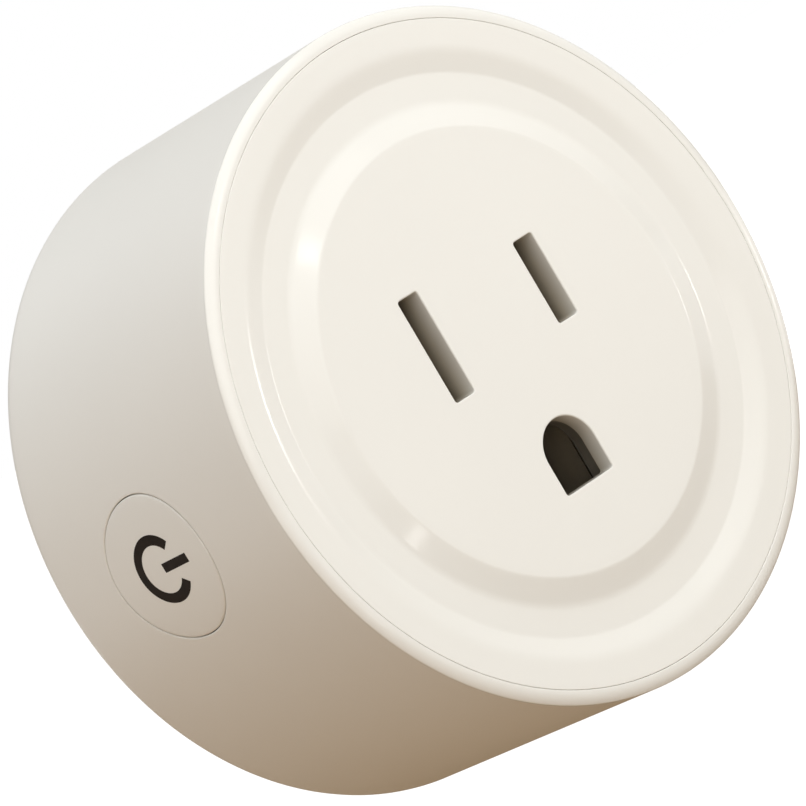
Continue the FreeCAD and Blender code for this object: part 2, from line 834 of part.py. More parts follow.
def relay_base():
    """The relay's moulded base plate."""
    base = slab(0, relay_z, relay_inner_width(),
                relay_breadth - 2 * relay_case_wall - 2 * relay_fit,
                board_front_y - relay_base_thickness, board_front_y)
    return base.cut(relay_terminal_slot(board_front_y - relay_base_thickness, board_front_y))


def relay_terminal_x():
    """The middle of the fixed contact's strip, along the relay's end wall."""
    return -relay_inner_width() / 2 + 2 * relay_fit + terminal_thickness / 2


def relay_terminal_slot(y0, y1):
    """Where the fixed contact's strip passes through the base and the board."""
    return slab(relay_terminal_x(), relay_z, terminal_thickness + 2 * relay_fit,
                terminal_breadth + 2 * relay_fit, y0, y1)


def armature_top_y():
    """The armature's face towards the front of the plug, at rest."""
    return relay_front_y + relay_case_wall + mechanism_drop


def core_top_y():
    """The pole face that the armature is pulled against."""
    return armature_top_y() + armature_thickness + armature_gap


def relay_yoke():
    """The magnet frame: core with its pole head, foot plate and upright."""
    foot_y = board_front_y - relay_base_thickness
    core = rod(core_radius, core_top_y() + core_head_height, foot_y - yoke_thickness,
               coil_offset, relay_z)
    head = rod(core_head_radius, core_top_y(), core_top_y() + core_head_height,
               coil_offset, relay_z)
    foot = block(yoke_offset - yoke_thickness / 2, coil_offset + core_head_radius,
                 foot_y - yoke_thickness, foot_y,
                 relay_z - yoke_breadth / 2, relay_z + yoke_breadth / 2)
    upright = block(yoke_offset - yoke_thickness / 2, yoke_offset + yoke_thickness / 2,
                    armature_top_y() + armature_thickness + armature_lift, foot_y,
                    relay_z - yoke_breadth / 2, relay_z + yoke_breadth / 2)
    return fused([core, head, foot, upright])


def relay_coil():
    """The winding on its bobbin, around the core."""
    y0 = core_top_y() + core_head_height + relay_fit
    y1 = board_front_y - relay_base_thickness - yoke_thickness - relay_fit
    winding = rod(coil_radius, y0, y1, coil_offset, relay_z)
    ends = [rod(bobbin_radius, y0, y0 + bobbin_flange, coil_offset, relay_z),
            rod(bobbin_radius, y1 - bobbin_flange, y1, coil_offset, relay_z)]
    hole = rod(core_radius + relay_fit, y0, y1, coil_offset, relay_z)
    return fused([winding] + ends).cut(hole)


def relay_armature():
    """The rocking plate with the moving contact on its short arm."""
    y0 = armature_top_y()
    plate = block(yoke_offset - armature_arm, yoke_offset + armature_reach, y0,
                  y0 + armature_thickness,
                  relay_z - armature_breadth / 2, relay_z + armature_breadth / 2)
    contact = rod(contact_radius, y0 - moving_contact_height, y0,
                  yoke_offset - contact_offset, relay_z)
    return fused([plate, contact])


def relay_terminal():
    """The fixed contact and its strip down to the main board."""
    strip_y = armature_top_y() - moving_contact_height - contact_gap - fixed_contact_height
    half = terminal_breadth / 2
    x_wall = relay_terminal_x()
    contact = rod(contact_radius, strip_y, strip_y + fixed_contact_height,
                  yoke_offset - contact_offset, relay_z)
    strip = block(x_wall - terminal_thickness / 2, yoke_offset - contact_offset + contact_radius,
                  strip_y - terminal_thickness, strip_y, relay_z - half, relay_z + half)
    leg = block(x_wall - terminal_thickness / 2, x_wall + terminal_thickness / 2,
                strip_y - terminal_thickness, board_back_y + solder_stub,
                relay_z - half, relay_z + half)
    return fused([contact, strip, leg])


def radio_board():
    """The upright board of the radio module."""
    y0 = skirt_end_y + radio_front_margin
    return block(radio_board_x, radio_board_x + radio_board_thickness, y0, board_front_y,
                 -radio_board_half_height, radio_board_half_height)


def radio_shield_range():
    """Where the radio's shield starts and ends along Y."""
    y1 = board_front_y - shield_from_board
    return y1 - shield_length, y1


def radio_shield():
    """The sheet-metal lid over the radio chip."""
    x0 = radio_board_x + radio_board_thickness
    y0, y1 = radio_shield_range()
    outer = block(x0, x0 + shield_height, y0, y1, -shield_half_height, shield_half_height)
    inner = block(x0, x0 + shield_height - shield_wall, y0 + shield_wall, y1 - shield_wall,
                  -shield_half_height + shield_wall, shield_half_height - shield_wall)
    return outer.cut(inner)


def radio_chip():
    """The radio chip under the shield."""
    x0 = radio_board_x + radio_board_thickness
    middle = sum(radio_shield_range()) / 2
    half = radio_chip_side / 2
    return block(x0, x0 + radio_chip_height, middle - half, middle + half, -half, half)


def radio_pins():
    """The pins at the foot of the radio board."""
    return pin_row(radio_board_x - pin_side / 2, 0, radio_pin_count)


def standing_can(radius, length, angle):
    """A round can on the main board with a rounded top and a pinched neck near its foot."""
    x, z = beside_wall(radius, angle)
    top_y = board_front_y - length
    can = rod(radius, top_y, board_front_y, x, z)
    top = [e for e in can.Edges if abs(e.CenterOfMass.y - top_y) < EDGE_TOLERANCE]
    can = can.makeFillet(can_top_share * radius, top)
    neck_y = board_front_y - can_neck_share * length
    neck = Part.makeTorus(radius + can_neck_offset, can_neck_wire, Vector(x, neck_y, z), ALONG_Y)
    return can.cut(neck)


def film_capacitor():
    """The moulded box capacitor across the mains."""
    width, length, height = film_capacitor_size
    x, z = beside_wall(film_capacitor_half_diagonal, film_capacitor_angle)
    box = slab(x, z, width, height, board_front_y - length, board_front_y)
    edges = [e for e in box.Edges if e.CenterOfMass.y < board_front_y - film_capacitor_edge]
    return box.makeFillet(film_capacitor_edge, edges)


def varistor():
    """The surge-absorbing disc, standing on two leads."""
    x, z = beside_wall(varistor_radius, varistor_angle)
    y = board_front_y - varistor_radius - varistor_stand
    half = varistor_thickness / 2
    disc = cross_rod(varistor_radius, x - half, x + half, y, z)
    disc = disc.makeFillet(varistor_edge, circle_edges(disc))
    leads = [rod(lead_radius, y, board_front_y, x, z + side * varistor_lead_offset)
             for side in (-1, 1)]
    return fused([disc] + leads)


def fuse_resistor():
    """The fusible resistor, standing on end."""
    x, z = beside_wall(fuse_resistor_radius, fuse_resistor_angle)
    y1 = board_front_y - fuse_resistor_stand
    body = rod(fuse_resistor_radius, y1 - fuse_resistor_length, y1, x, z)
    body = body.makeFillet(fuse_resistor_edge, circle_edges(body))
    return fused([body, rod(lead_radius, y1 - fuse_resistor_edge, board_front_y, x, z)])


def choke_core():
    """The ferrite drum of the filter choke."""
    x, z = beside_wall(choke_radius, choke_angle)
    y0 = board_front_y - choke_length
    return fused([
        rod(choke_neck_radius, y0, board_front_y, x, z),
        rod(choke_radius, y0, y0 + choke_flange, x, z),
        rod(choke_radius, board_front_y - choke_flange, board_front_y, x, z),
    ])


def choke_winding():
    """The copper winding between the drum's flanges."""
    x, z = beside_wall(choke_radius, choke_angle)
    y0 = board_front_y - choke_length + choke_flange
    y1 = board_front_y - choke_flange
    outer = rod(choke_radius - choke_winding_inset, y0, y1, x, z)
    return outer.cut(rod(choke_neck_radius + screw_clearance, y0, y1, x, z))


def surface_chip(size, point):
    """A flat chip on the rear side of the main board."""
    width, height = size
    chip = slab(point[0], point[1], width, height, board_back_y, board_back_y + chip_height)
    edges = [e for e in chip.Edges if e.CenterOfMass.y > board_back_y + chip_height - chip_edge]
    return chip.makeChamfer(chip_edge, edges)


PARTS = {
    "housing": housing,
    "front_cover": front_cover,
    "button_cap": button_cap,
    "contact_carrier": contact_carrier,
    "carrier_lid": carrier_lid,
    "line_contact": lambda: blade_contact(line_x),
    "neutral_contact": lambda: blade_contact(neutral_x),
    "ground_contact": ground_contact,
    "ground_strap": ground_strap,
    "line_blade": lambda: plug_blade(line_x),
    "neutral_blade": lambda: plug_blade(neutral_x),
    "ground_pin": ground_pin,
    "blade_retainer": blade_retainer,
    "retainer_screws": retainer_screws,
    "main_board": main_board,
    "board_screws": board_screws,
    "switch_board": switch_board,
    "switch_base": switch_base,
    "switch_cover": switch_cover,
    "switch_dome": switch_dome,
    "switch_plunger": switch_plunger,
    "switch_pins": switch_pins,
    "relay_case": relay_case,
    "relay_base": relay_base,
    "relay_yoke": relay_yoke,
    "relay_coil": relay_coil,
    "relay_armature": relay_armature,
    "relay_terminal": relay_terminal,
    "radio_board": radio_board,
    "radio_shield": radio_shield,
    "radio_chip": radio_chip,
    "radio_pins": radio_pins,
    "bulk_capacitor": lambda: standing_can(bulk_capacitor_radius, bulk_capacitor_length,
                                           bulk_capacitor_angle),
    "output_capacitor": lambda: standing_can(output_capacitor_radius, output_capacitor_length,
                                             output_capacitor_angle),
    "film_capacitor": film_capacitor,
    "varistor": varistor,
    "fuse_resistor": fuse_resistor,
    "choke_core": choke_core,
    "choke_winding": choke_winding,
    "bridge_rectifier": lambda: surface_chip(bridge_size, bridge_point),
    "power_controller": lambda: surface_chip(controller_size, controller_point),
}


def write_parts():
    """Write each piece, or each set of like pieces, to its own STEP file."""
    os.makedirs("parts", exist_ok=True)
    for name, make in PARTS.items():
        shape = make()
        if isinstance(shape, list):
            shape = Part.makeCompound(shape)
        shape.exportStep("parts/" + name + ".step")


write_parts()
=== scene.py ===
import bpy
import bmesh
import json
import math
from mathutils import Matrix, Vector


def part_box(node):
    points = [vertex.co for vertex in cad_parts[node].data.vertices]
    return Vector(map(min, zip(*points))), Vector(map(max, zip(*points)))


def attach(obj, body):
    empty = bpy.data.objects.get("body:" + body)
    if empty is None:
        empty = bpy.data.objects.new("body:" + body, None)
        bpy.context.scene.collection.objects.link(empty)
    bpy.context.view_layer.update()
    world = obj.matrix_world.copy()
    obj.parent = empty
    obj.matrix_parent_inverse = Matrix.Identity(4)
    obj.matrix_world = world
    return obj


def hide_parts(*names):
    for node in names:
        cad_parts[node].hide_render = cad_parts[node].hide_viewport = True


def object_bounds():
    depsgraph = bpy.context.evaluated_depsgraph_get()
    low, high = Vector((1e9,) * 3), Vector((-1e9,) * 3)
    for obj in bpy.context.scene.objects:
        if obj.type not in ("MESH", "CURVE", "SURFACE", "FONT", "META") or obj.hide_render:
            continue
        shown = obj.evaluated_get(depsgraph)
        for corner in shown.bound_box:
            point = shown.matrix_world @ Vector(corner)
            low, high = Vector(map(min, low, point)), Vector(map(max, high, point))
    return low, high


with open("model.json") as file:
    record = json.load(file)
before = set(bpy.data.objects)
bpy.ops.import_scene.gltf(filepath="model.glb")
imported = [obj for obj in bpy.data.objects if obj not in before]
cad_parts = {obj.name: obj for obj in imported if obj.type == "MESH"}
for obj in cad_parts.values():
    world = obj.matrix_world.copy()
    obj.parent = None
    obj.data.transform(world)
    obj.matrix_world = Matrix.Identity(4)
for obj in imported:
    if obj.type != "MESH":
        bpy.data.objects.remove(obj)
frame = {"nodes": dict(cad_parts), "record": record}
CAD_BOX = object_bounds()
MM = 0.001

# ------------------------------------------------------------------ sizes, mm
HOUSING_LOW, HOUSING_HIGH = (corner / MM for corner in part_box("housing"))
BUTTON_LOW, BUTTON_HIGH = (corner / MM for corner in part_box("button_cap"))
PIN_LOW, PIN_HIGH = (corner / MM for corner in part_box("ground_pin"))

FRONT_Y = HOUSING_LOW.y
REAR_Y = HOUSING_HIGH.y
FRONT_RADIUS = 27.25
REAR_RADIUS = 27.0
FRONT_EDGE = 0.15
RIM_BEVEL_WIDTH = 0.45
RIM_BEVEL_DROP = 0.35
RIM_BEND = 1.3
REAR_EDGE = 1.4
RIM_WIDTH = 1.1
CAVITY_RADIUS = 25.25
REAR_WALL = 2.0
LEDGE_DEPTH = 2.0
REAR_GROOVE_RADIUS = 22.0
REAR_GROOVE_WIDTH = 0.6
REAR_GROOVE_DEPTH = 0.3
GROOVE_LIP = 0.08
GROOVE_FLOOR = 0.12
SEAM_EDGE = 0.06
SEAM_GAP = 0.02

COVER_RADIUS = FRONT_RADIUS - RIM_WIDTH - SEAM_GAP
COVER_WALL = 1.5
COLLAR_WALL = 0.6
COLLAR_LENGTH = 1.2
DISC_RADIUS = 17.6
TROUGH_INNER = 19.63
TROUGH_OUTER = 22.03
RING_INNER = 23.75
TROUGH_DEPTH = 0.65
RING_DROP = 0.15
CRISP_BEND = 1.0
SLOPE_BEND = 2.2
SOFT_BEND = 4.5
SKIRT_OUTER = 25.15
SKIRT_INNER = 23.95
SKIRT_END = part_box("front_cover")[1].y / MM
SKIRT_EDGE = 0.2
LEDGE_EDGE = 0.1
FLAT_RADIUS = 14.5

BUTTON_RADIUS = 5.85
BUTTON_GAP = 0.07
BUTTON_Y = (BUTTON_LOW.y + BUTTON_HIGH.y) / 2
BUTTON_Z = (BUTTON_LOW.z + BUTTON_HIGH.z) / 2
BUTTON_EDGE = 0.12
BUTTON_FLANGE_RADIUS = (BUTTON_HIGH.y - BUTTON_LOW.y) / 2
BUTTON_FLANGE_OUTER = 25.13
BUTTON_FLANGE_INNER = 24.13
BUTTON_BOSS_RADIUS = 1.7

BLADE_PITCH = 12.7
SLOT_HEIGHT = 3.24
GROUND_HEIGHT = SLOT_HEIGHT - 11.89
SLOT_WIDTH = 2.14
NEUTRAL_SLOT = 8.6
LINE_SLOT = 6.97
SLOT_CORNER = 0.25
HOLE_EDGE = 0.13
GROUND_HOLE_WIDTH = 5.3
GROUND_HOLE_HEIGHT = 5.4
BLADE_THICKNESS = 1.52
BLADE_WIDTH = 6.35
BLADE_EDGE = 0.12
BLADE_HOLE_CORNER = 0.1
PIN_RADIUS = 2.375
PIN_FIT = 0.05
PIN_DOME = 1.6
PIN_NECK_RADIUS = 2.2
PIN_NECK_LENGTH = 0.3
PIN_NECK_EDGE = 0.08
PIN_HEAD_RADIUS = PIN_HIGH.x
PIN_HEAD_THICKNESS = 1.0
PIN_HEAD_EDGE = 0.15
PIN_STUB_RADIUS = 1.5
PIN_STUB_EDGE = 0.2
AXIS_RADIUS = 1e-4

SYMBOL_RING_RADIUS = 2.37
SYMBOL_STROKE = 0.83
SYMBOL_GAP_ANGLE = 38.0
SYMBOL_BAR_FROM = 0.3
SYMBOL_BAR_TO = 3.4
SYMBOL_BAR_WIDTH = 0.75
SYMBOL_THICKNESS = 0.012

POLISH_FROM = 0.3
POLISH_TO = 0.8
# Painted shade in the socket face's openings: the depth where it is darkest, and the radii between
# which it fades out.
PAINTED_SHADE_DEPTH = 2.7
PAINTED_SHADE_FULL_RADIUS = 15.5
PAINTED_SHADE_END_RADIUS = 16.5

SEGMENTS = 360
PIN_SEGMENTS = 96
PIN_ARC_STEPS = 12
BUTTON_SEGMENTS = 160
BUTTON_RINGS = 12
SYMBOL_STEPS = 96
BAR_STEPS = 12
STROKE_SHARES = (-0.5, -0.25, 0, 0.25, 0.5)
WINDOW_HALF = 7.4
WINDOW_ROWS = 30
WINDOW_COLUMNS = 16
RING_CROWDING = 1.3
ARC_STEPS = 8
EDGE_STEPS = 6
FINE_STEP = 0.6
WIDE_STEP = 0.8
PIN_STEP = 1.0
SMOOTH_ANGLE = 32.0


# ------------------------------------------------------------- mesh building
class Shape:
    """A mesh being built, in millimetres: points, faces and the joining of equal points."""

    def __init__(self):
        self.points = []
        self.faces = []

    def add(self, points):
        first = len(self.points)
        self.points.extend(points)
        return list(range(first, len(self.points)))

    def bridge(self, a, b, closed=True):
        """Quads between two equally long rows of points."""
        last = len(a) if closed else len(a) - 1
        for i in range(last):
            j = (i + 1) % len(a)
            self.faces.append((a[i], a[j], b[j], b[i]))

    def fan(self, centre, row):
        """Triangles from one point to a closed row."""
        for i in range(len(row)):
            self.faces.append((centre, row[i], row[(i + 1) % len(row)]))

    def piece(self, name, material, smooth_angle=SMOOTH_ANGLE):
        """The finished object, with equal points joined and normals outward."""
        mesh = bpy.data.meshes.new(name)
        mesh.from_pydata([Vector(p) * MM for p in self.points], [], self.faces)
        bm = bmesh.new()
        bm.from_mesh(mesh)
        bmesh.ops.remove_doubles(bm, verts=bm.verts, dist=1e-7)
        bmesh.ops.recalc_face_normals(bm, faces=bm.faces)
        bm.to_mesh(mesh)
        bm.free()
        mesh.polygons.foreach_set("use_smooth", [True] * len(mesh.polygons))
        mesh.set_sharp_from_angle(angle=math.radians(smooth_angle))
        made = bpy.data.objects.new(name, mesh)
        bpy.context.scene.collection.objects.link(made)
        made.data.materials.append(material)
        weighted = made.modifiers.new("weighted", "WEIGHTED_NORMAL")
        weighted.keep_sharp = True
        return made


def rounded_path(corners, steps=ARC_STEPS):
    """An open path through (a, b, fillet radius) corners with each corner rounded by an arc."""
    path = []
    for index, (a, b, radius) in enumerate(corners):
        here = Vector((a, b))
        if radius == 0 or index in (0, len(corners) - 1):
            path.append((a, b))
            continue
        back = (Vector(corners[index - 1][:2]) - here).normalized()
        ahead = (Vector(corners[index + 1][:2]) - here).normalized()
        half = back.angle(ahead) / 2
        centre = here + (back + ahead).normalized() * (radius / math.sin(half))
        start = here + back * (radius / math.tan(half)) - centre
        end = here + ahead * (radius / math.tan(half)) - centre
        turn = start.angle_signed(end)
        for step in range(steps + 1):
            spun = Matrix.Rotation(-turn * step / steps, 2) @ start
            path.append(tuple(centre + spun))
    return path


def subdivided(path, longest):
    """The path with points added so that no stretch is longer than given."""
    out = [path[0]]
    for a, b in zip(path, path[1:]):
        count = max(1, math.ceil(math.dist(a, b) / longest))
        for k in range(1, count + 1):
            out.append((a[0] + (b[0] - a[0]) * k / count, a[1] + (b[1] - a[1]) * k / count))
    return out


def ring_points(radius, y, segments=SEGMENTS, height=0.0):
    """A circle about the Y direction at x = 0, z = height; its first point is on the -X side."""
    turns = [math.pi + 2 * math.pi * k / segments for k in range(segments)]
    return [(radius * math.cos(t), y, height + radius * math.sin(t)) for t in turns]


def lathe(shape, path, segments=SEGMENTS, height=0.0):
    """Quads for a (radius, y) path turned about the Y direction at x = 0, z = height."""
    rings = [shape.add(ring_points(r, y, segments, height)) for r, y in path]
    for a, b in zip(rings, rings[1:]):
        shape.bridge(a, b)


def flat_fill(shape, outer, holes, y):
    """Fills the flat area at height y between an outer closed outline and hole outlines."""
    bm = bmesh.new()
    edges = []
    for outline in [outer] + holes:
        verts = [bm.verts.new((x, z, 0)) for x, z in outline]
        for i in range(len(verts)):
            edges.append(bm.edges.new((verts[i], verts[(i + 1) % len(verts)])))
    bmesh.ops.triangle_fill(bm, use_beauty=True, edges=edges)
    bm.verts.index_update()
    index = shape.add([(v.co.x, y, v.co.y) for v in bm.verts])
    for face in bm.faces:
        shape.faces.append(tuple(index[v.index] for v in face.verts))
    bm.free()


def slot_outline(x, z, width, height, corner, grow=0.0, steps=6):
    """A rounded rectangle as (x, z) points, grown outward by a margin."""
    half_w = width / 2 + grow
    half_h = height / 2 + grow
    radius = corner + grow
    out = []
    for quarter, (sx, sz) in enumerate(((1, 1), (-1, 1), (-1, -1), (1, -1))):
        for k in range(steps + 1):
            turn = math.radians(90 * quarter + 90 * k / steps)
            out.append((x + sx * (half_w - radius) + radius * math.cos(turn),
                        z + sz * (half_h - radius) + radius * math.sin(turn)))
    return out


def arch_outline(x, z, width, height, corner, grow=0.0, steps=32, corner_steps=6):
    """An arch as (x, z) points: a half circle above, two small corners below."""
    half_w = width / 2 + grow
    arch_z = z + height / 2 - width / 2
    foot = z - height / 2 - grow
    radius = corner + grow
    out = []
    for k in range(steps + 1):
        turn = math.pi * k / steps
        out.append((x + half_w * math.cos(turn), arch_z + half_w * math.sin(turn)))
    for sx, start in ((-1, 180), (1, 270)):
        for k in range(corner_steps + 1):
            turn = math.radians(start + 90 * k / corner_steps)
            out.append((x + sx * (half_w - radius) + radius * math.cos(turn),
                        foot + radius + radius * math.sin(turn)))
    return out


def circle_outline(x, z, radius, grow=0.0, steps=64):
    """A circle as (x, z) points."""
    turns = [2 * math.pi * k / steps for k in range(steps)]
    return [(x + (radius + grow) * math.cos(t), z + (radius + grow) * math.sin(t)) for t in turns]


def opening(shape, outline, y_outer, y_inner, edge=HOLE_EDGE, steps=5):
    """The walls of an opening with a rounded rim at y_outer; outline(grow) gives its points."""
    inward = 1 if y_inner > y_outer else -1
    rows = []
    for k in range(steps + 1):
        turn = math.pi / 2 * k / steps
        grow = edge * (1 - math.sin(turn))
        y = y_outer + inward * edge * (1 - math.cos(turn))
        rows.append(shape.add([(x, y, z) for x, z in outline(grow)]))
    rows.append(shape.add([(x, y_inner, z) for x, z in outline(0.0)]))
    for a, b in zip(rows, rows[1:]):
        shape.bridge(a, b)


# -------------------------------------------------- the curved skin by the button
def wall_radius(y):
    """The housing's outer radius at a depth, by its draft."""
    share = (y - FRONT_Y) / (REAR_Y - FRONT_Y)
    return FRONT_RADIUS + (REAR_RADIUS - FRONT_RADIUS) * share


def on_wall(z, y, radius):
    """The point of a round wall on the -X side at height z."""
    return (-math.sqrt(radius * radius - z * z), y, z)


def button_circle(radius, angles):
    """(y, z) points of a circle seen along X about the button's middle."""
    return [(BUTTON_Y + radius * math.cos(t), BUTTON_Z + radius * math.sin(t)) for t in angles]


def window_rows():
    """The y values of the grid rows across the window that holds the button hole."""
    return [BUTTON_Y - WINDOW_HALF + 2 * WINDOW_HALF * k / WINDOW_ROWS
            for k in range(WINDOW_ROWS + 1)]


def wall_with_hole(shape, before, after, radius_at, hole_radius, rings=9):
    """A turned wall with a button hole, with (radius, y) paths before and after it.

    Returns the points around the hole and their angles about the button's middle.
    """
    rows = window_rows()
    path = before + [(radius_at(y), y) for y in rows] + after
    first_row = len(before)
    grid = [shape.add(ring_points(r, y)) for r, y in path]
    left = SEGMENTS - WINDOW_COLUMNS
    inside = set((k % SEGMENTS) for k in range(left, left + 2 * WINDOW_COLUMNS))
    for i, (a, b) in enumerate(zip(grid, grid[1:])):
        in_rows = first_row <= i < first_row + WINDOW_ROWS
        for j in range(SEGMENTS):
            if in_rows and j in inside:
                continue
            n = (j + 1) % SEGMENTS
            shape.faces.append((a[j], a[n], b[n], b[j]))
    columns = [(left + k) % SEGMENTS for k in range(2 * WINDOW_COLUMNS + 1)]
    top, bottom = first_row, first_row + WINDOW_ROWS
    border = [grid[top][c] for c in columns]
    border += [grid[i][columns[-1]] for i in range(top + 1, bottom + 1)]
    border += [grid[bottom][c] for c in columns[-2::-1]]
    border += [grid[i][columns[0]] for i in range(bottom - 1, top, -1)]
    places = [shape.points[i] for i in border]
    flat = []
    for _, y, z in places:
        radius = radius_at(y)
        flat.append((y, radius * math.asin(max(-1, min(1, z / radius)))))
    angles = [math.atan2(u - BUTTON_Z, y - BUTTON_Y) for y, u in flat]
    previous = border
    for k in range(1, rings + 1):
        share = (1 - k / rings) ** RING_CROWDING
        row = []
        for (y, u), turn in zip(flat, angles):
            hole_y = BUTTON_Y + hole_radius * math.cos(turn)
            hole_z = BUTTON_Z + hole_radius * math.sin(turn)
            hole_u = radius_at(hole_y) * math.asin(hole_z / radius_at(hole_y))
            at_y = hole_y + (y - hole_y) * share
            at_u = hole_u + (u - hole_u) * share
            radius = radius_at(at_y)
            row.append((-radius * math.cos(at_u / radius), at_y, radius * math.sin(at_u / radius)))
        row = shape.add(row)
        shape.bridge(previous, row)
        previous = row
    return previous, angles


# ------------------------------------------------------------------ materials
def new_material(name, colour, roughness, metallic=0.0):
    """A Principled material, returned with its node tree and its shader node."""
    made = bpy.data.materials.new(name)
    made.use_nodes = True
    shader = made.node_tree.nodes["Principled BSDF"]
    shader.inputs["Base Color"].default_value = (*colour, 1)
    shader.inputs["Roughness"].default_value = roughness
    shader.inputs["Metallic"].default_value = metallic
    return made, made.node_tree, shader


def add_node(tree, kind, **settings):
    """A node with its plain attributes and its named input values set."""
    made = tree.nodes.new(kind)
    for key, value in settings.items():
        if hasattr(made, key):
            setattr(made, key, value)
        else:
            made.inputs[key.replace("_", " ")].default_value = value
    return made


def noise(tree, scale, detail=3.0, roughness=0.5, stretch=(1, 1, 1)):
    """Noise in the object's own space."""
    place = add_node(tree, "ShaderNodeTexCoord")
    mapping = add_node(tree, "ShaderNodeMapping")
    mapping.inputs["Scale"].default_value = stretch
    made = add_node(tree, "ShaderNodeTexNoise")
    made.inputs["Scale"].default_value = scale
    made.inputs["Detail"].default_value = detail
    made.inputs["Roughness"].default_value = roughness
    tree.links.new(place.outputs["Object"], mapping.inputs["Vector"])
    tree.links.new(mapping.outputs["Vector"], made.inputs["Vector"])
    return made.outputs["Fac"]


def ramp(tree, source, stops):
    """A colour ramp over (position, colour) stops."""
    made = add_node(tree, "ShaderNodeValToRGB")
    band = made.color_ramp
    while len(band.elements) < len(stops):
        band.elements.new(0.5)
    for element, (position, colour) in zip(band.elements, stops):
        element.position = position
        element.color = (*colour, 1)
    tree.links.new(source, made.inputs["Fac"])
    return made.outputs["Color"]


def mapped(tree, source, low, high, from_low=0.0, from_high=1.0):
    """A value moved from one range to another."""
    made = add_node(tree, "ShaderNodeMapRange")
    made.inputs["From Min"].default_value = from_low
    made.inputs["From Max"].default_value = from_high
    made.inputs["To Min"].default_value = low
    made.inputs["To Max"].default_value = high
    tree.links.new(source, made.inputs["Value"])
    return made.outputs["Result"]


def bump(tree, shader, height, strength, distance, before=None):
    """A bump on the shader's normal, after another if given."""
    made = add_node(tree, "ShaderNodeBump")
    made.inputs["Strength"].default_value = strength
    made.inputs["Distance"].default_value = distance
    tree.links.new(height, made.inputs["Height"])
    if before is not None:
        tree.links.new(before, made.inputs["Normal"])
    tree.links.new(made.outputs["Normal"], shader.inputs["Normal"])
    return made.outputs["Normal"]


def shade(colour, factor):
    """A colour made darker or lighter."""
    return tuple(min(1.0, c * factor) for c in colour)


WHITE = (0.86, 0.853, 0.82)


def satin_plastic():
    """The finely textured white plastic of the housing and button, polished on the front rim."""
    made, tree, shader = new_material("satin_white_plastic", WHITE, 0.42)
    cloud = noise(tree, 60, 4)
    colour = ramp(tree, cloud, [(0.3, shade(WHITE, 0.985)), (0.7, WHITE)])
    tree.links.new(colour, shader.inputs["Base Color"])
    place = add_node(tree, "ShaderNodeTexCoord")
    split = add_node(tree, "ShaderNodeSeparateXYZ")
    tree.links.new(place.outputs["Object"], split.inputs["Vector"])
    rim = mapped(tree, split.outputs["Y"], 0.16, 0.42,
                 (FRONT_Y + POLISH_FROM) * MM, (FRONT_Y + POLISH_TO) * MM)
    smear = mapped(tree, noise(tree, 240, 3), -0.04, 0.04)
    total = add_node(tree, "ShaderNodeMath", operation="ADD")
    tree.links.new(rim, total.inputs[0])
    tree.links.new(smear, total.inputs[1])
    tree.links.new(total.outputs[0], shader.inputs["Roughness"])
    grain = noise(tree, 5200, 2, 0.6)
    first = bump(tree, shader, grain, 0.10, 0.00002)
    bump(tree, shader, noise(tree, 90, 2), 0.05, 0.0002, first)
    return made


def gloss_plastic():
    """The socket face's polished white plastic, with painted shade darkening its openings."""
    made, tree, shader = new_material("polished_white_plastic", WHITE, 0.14)
    shader.inputs["Specular IOR Level"].default_value = 0.2
    colour = ramp(tree, noise(tree, 45, 3), [(0.3, shade(WHITE, 0.99)), (0.7, shade(WHITE, 1.005))])
    place = add_node(tree, "ShaderNodeTexCoord")
    split = add_node(tree, "ShaderNodeSeparateXYZ")
    tree.links.new(place.outputs["Object"], split.inputs["Vector"])
    # Painted shade: the colour darkens with depth into the slots and the ground hole, within the
    # flat centre only.
    depth = mapped(tree, split.outputs["Y"], 0, 1, FRONT_Y * MM, (FRONT_Y + PAINTED_SHADE_DEPTH) * MM)
    painted_shade = ramp(tree, depth, [
        (0.0, (1, 1, 1)), (0.10, (0.98, 0.97, 0.95)), (0.55, (0.68, 0.63, 0.55)),
        (1.0, (0.26, 0.22, 0.17))])
    flat = add_node(tree, "ShaderNodeVectorMath", operation="MULTIPLY")
    flat.inputs[1].default_value = (1, 0, 1)
    tree.links.new(place.outputs["Object"], flat.inputs[0])
    reach = add_node(tree, "ShaderNodeVectorMath", operation="LENGTH")
    tree.links.new(flat.outputs["Vector"], reach.inputs[0])
    inside = mapped(tree, reach.outputs["Value"], 1, 0,
                    PAINTED_SHADE_FULL_RADIUS * MM, PAINTED_SHADE_END_RADIUS * MM)
    painted_shade_mix = add_node(tree, "ShaderNodeMix", data_type="RGBA", blend_type="MULTIPLY")
    tree.links.new(inside, painted_shade_mix.inputs[0])
    tree.links.new(colour, painted_shade_mix.inputs[6])
    tree.links.new(painted_shade, painted_shade_mix.inputs[7])
    tree.links.new(painted_shade_mix.outputs[2], shader.inputs["Base Color"])
    tree.links.new(mapped(tree, noise(tree, 160, 4), 0.10, 0.16), shader.inputs["Roughness"])
    first = bump(tree, shader, noise(tree, 420, 2), 0.06, 0.0001)
    bump(tree, shader, noise(tree, 110, 1), 0.04, 0.0004, first)
    return made


def printed_ink():
    """The dark print of the power symbol."""
    dark = (0.016, 0.010, 0.006)
    made, tree, shader = new_material("printed_ink", dark, 0.38)
    shader.inputs["Specular IOR Level"].default_value = 0.1
    colour = ramp(tree, noise(tree, 1500, 3), [(0.25, shade(dark, 0.8)), (0.8, shade(dark, 1.5))])
    tree.links.new(colour, shader.inputs["Base Color"])
    tree.links.new(mapped(tree, noise(tree, 900, 2), 0.32, 0.5), shader.inputs["Roughness"])
    bump(tree, shader, noise(tree, 4000, 2), 0.1, 0.00002)
    return made


